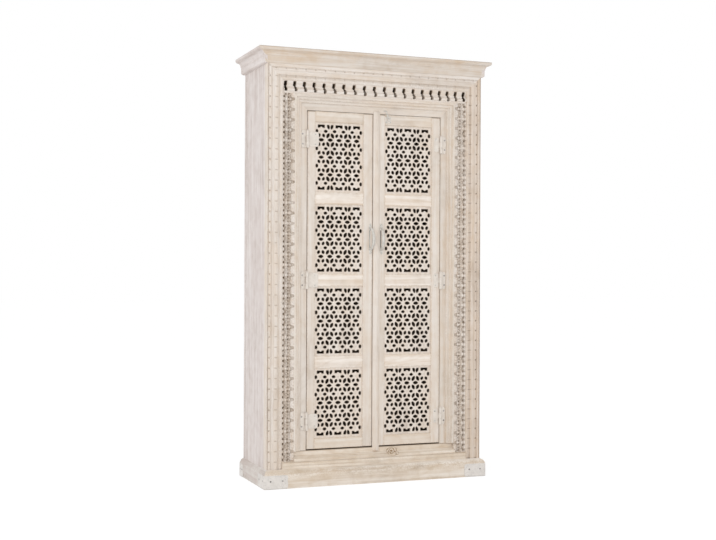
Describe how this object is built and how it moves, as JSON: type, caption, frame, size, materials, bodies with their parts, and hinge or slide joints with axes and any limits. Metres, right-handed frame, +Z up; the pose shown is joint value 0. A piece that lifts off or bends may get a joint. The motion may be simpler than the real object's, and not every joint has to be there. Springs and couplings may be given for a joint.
{
  "type": "two-door cabinet with pierced lattice doors",
  "caption": "Tall whitewashed mango wood cabinet with two pierced lattice doors, carved frame bands and iron hinges, handles and hook.",
  "frame": {"origin": "centre of the bounding box's foot, on the floor", "axes": "+Z up, the doors face -Y, +X to the viewer's right"},
  "size_m": [1.111, 0.3978, 1.9],
  "materials": {
    "whitewashed_mango": "whitewashed carved mango wood, dry and matt",
    "plain_mango": "mango wood with a thin wash",
    "whitewashed_iron": "hand-forged iron with worn white paint"
  },
  "bodies": {
    "cabinet": {"side_panel_left": "whitewashed_mango", "side_panel_right": "whitewashed_mango", "back_frame": "plain_mango", "back_boards": "plain_mango", "top_board": "plain_mango", "bottom_board": "plain_mango", "shelf_lower": "plain_mango", "shelf_middle": "plain_mango", "shelf_upper": "plain_mango", "shelf_cleats": "plain_mango", "cornice_front": "whitewashed_mango", "cornice_left": "whitewashed_mango", "cornice_right": "whitewashed_mango", "frame_stile_left": "whitewashed_mango", "frame_stile_right": "whitewashed_mango", "frame_head": "whitewashed_mango", "bracket_row": "whitewashed_mango", "petal_band_left": "whitewashed_mango", "petal_band_right": "whitewashed_mango", "jamb_left": "whitewashed_mango", "jamb_right": "whitewashed_mango", "head_courses": "whitewashed_mango", "sill": "whitewashed_mango", "plinth_front": "whitewashed_mango", "plinth_left": "whitewashed_mango", "plinth_right": "whitewashed_mango", "plinth_back": "plain_mango", "door_stop": "plain_mango", "corner_plates": "whitewashed_iron", "hinge_frame_plates": "whitewashed_iron", "hinge_pins": "whitewashed_iron", "latch_staple": "whitewashed_iron", "iron_nails": "whitewashed_iron"},
    "left_door": {"left_hinge_stile": "whitewashed_mango", "left_meeting_stile": "whitewashed_mango", "left_bottom_rail": "whitewashed_mango", "left_top_rail": "whitewashed_mango", "left_mid_rails": "whitewashed_mango", "left_jali_1": "whitewashed_mango", "left_jali_2": "whitewashed_mango", "left_jali_3": "whitewashed_mango", "left_jali_4": "whitewashed_mango", "left_handle": "whitewashed_iron", "left_hinge_plates": "whitewashed_iron", "left_leaf_nails": "whitewashed_iron"},
    "right_door": {"right_hinge_stile": "whitewashed_mango", "right_meeting_stile": "whitewashed_mango", "right_bottom_rail": "whitewashed_mango", "right_top_rail": "whitewashed_mango", "right_mid_rails": "whitewashed_mango", "right_jali_1": "whitewashed_mango", "right_jali_2": "whitewashed_mango", "right_jali_3": "whitewashed_mango", "right_jali_4": "whitewashed_mango", "right_handle": "whitewashed_iron", "right_hinge_plates": "whitewashed_iron", "right_leaf_nails": "whitewashed_iron", "right_astragal": "whitewashed_mango", "right_latch_plate": "whitewashed_iron"},
    "hook": {"latch_hook": "whitewashed_iron"}
  },
  "joints": [
    {"name": "left_door_hinge", "type": "hinge", "parent": "cabinet", "child": "left_door", "pos_m": [-0.322, -0.14575, 0.9], "axis": [0, 0, -1], "range_deg": [0, 165]},
    {"name": "right_door_hinge", "type": "hinge", "parent": "cabinet", "child": "right_door", "pos_m": [0.322, -0.14575, 0.9], "axis": [0, 0, 1], "range_deg": [0, 165]},
    {"name": "hook_pivot", "type": "hinge", "parent": "right_door", "child": "hook", "pos_m": [0.062, -0.14825, 1.616], "axis": [0, 1, 0], "range_deg": [0, 150]}
  ]
}
